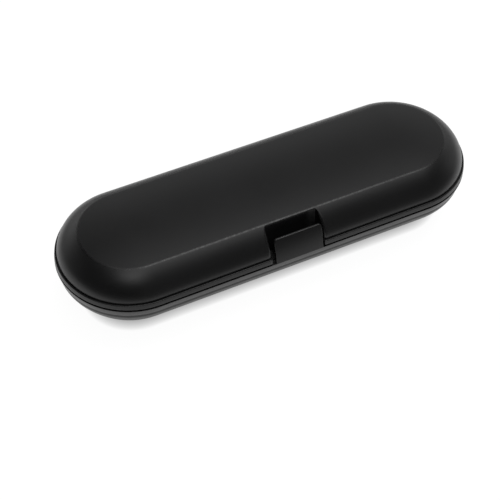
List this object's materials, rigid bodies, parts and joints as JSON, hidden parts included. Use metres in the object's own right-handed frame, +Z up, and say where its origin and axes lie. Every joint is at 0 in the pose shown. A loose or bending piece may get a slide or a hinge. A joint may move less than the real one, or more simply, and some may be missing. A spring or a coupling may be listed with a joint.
{
  "type": "electric toothbrush travel case",
  "caption": "Long stadium-shaped hard travel case with a hinged domed lid, a flexing front latch tab and an inner tray for a toothbrush handle and brush heads.",
  "frame": {"origin": "middle of the flat underside, below the centre of the rims' outline", "axes": "+X along the length, +Y from the latch at the front to the hinges at the back, +Z up"},
  "size_m": [0.21, 0.0726, 0.045],
  "materials": {
    "shell_plastic": "satin black moulded plastic with a fine mould grain",
    "tray_plastic": "matt black moulded plastic",
    "pin_steel": "drawn steel wire"
  },
  "bodies": {
    "base": {"base_shell": "shell_plastic", "holder_tray": "tray_plastic", "hinge_pin_left": "pin_steel", "hinge_pin_right": "pin_steel"},
    "lid": {"lid_shell": "shell_plastic"},
    "latch": {"latch_tab": "shell_plastic"}
  },
  "joints": [
    {"name": "lid_hinge", "type": "hinge", "parent": "base", "child": "lid", "pos_m": [0, 0.035, 0.0266], "axis": [-1, 0, 0], "range_deg": [0, 120]},
    {"name": "latch_flex", "type": "hinge", "parent": "base", "child": "latch", "pos_m": [0, -0.035, 0.0266], "axis": [1, 0, 0], "range_deg": [0, 10], "stiffness_Nm_per_rad": 0.3}
  ]
}
